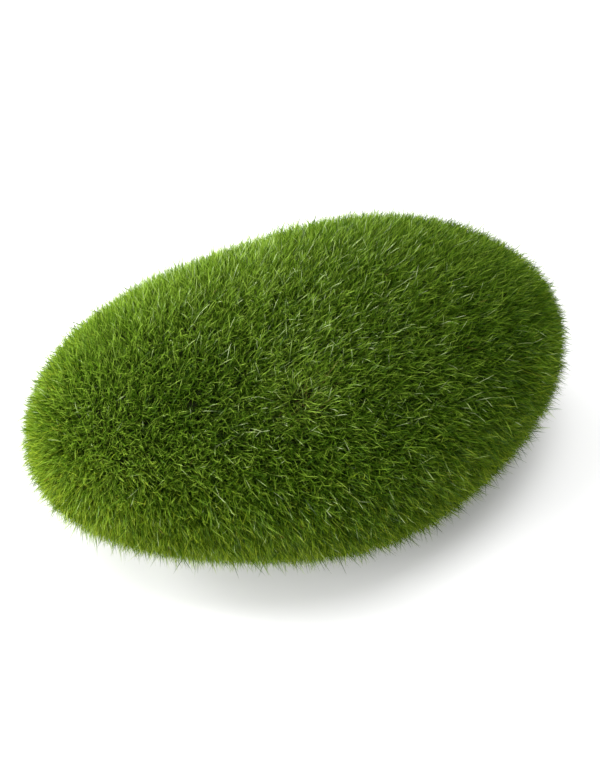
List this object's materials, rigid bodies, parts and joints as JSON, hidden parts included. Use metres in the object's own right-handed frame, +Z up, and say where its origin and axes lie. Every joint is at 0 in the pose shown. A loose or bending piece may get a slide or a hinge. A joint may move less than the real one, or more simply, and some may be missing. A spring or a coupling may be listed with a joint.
{
  "type": "moss stone",
  "caption": "Flattened oval pebble covered all over in dense green moss pile, resting on a small flat spot, for an aquarium, terrarium or planter.",
  "frame": {"origin": "on the floor, under the middle of the stone's bounding box", "axes": "+X along the stone's length, +Y across it, +Z up through its flattest direction"},
  "size_m": [0.1534, 0.1, 0.0646],
  "materials": {
    "moss_pile": "dense pile of fine, matte grass-green strands with paler tips"
  },
  "bodies": {
    "root": {"moss_stone": "moss_pile"}
  },
  "joints": []
}
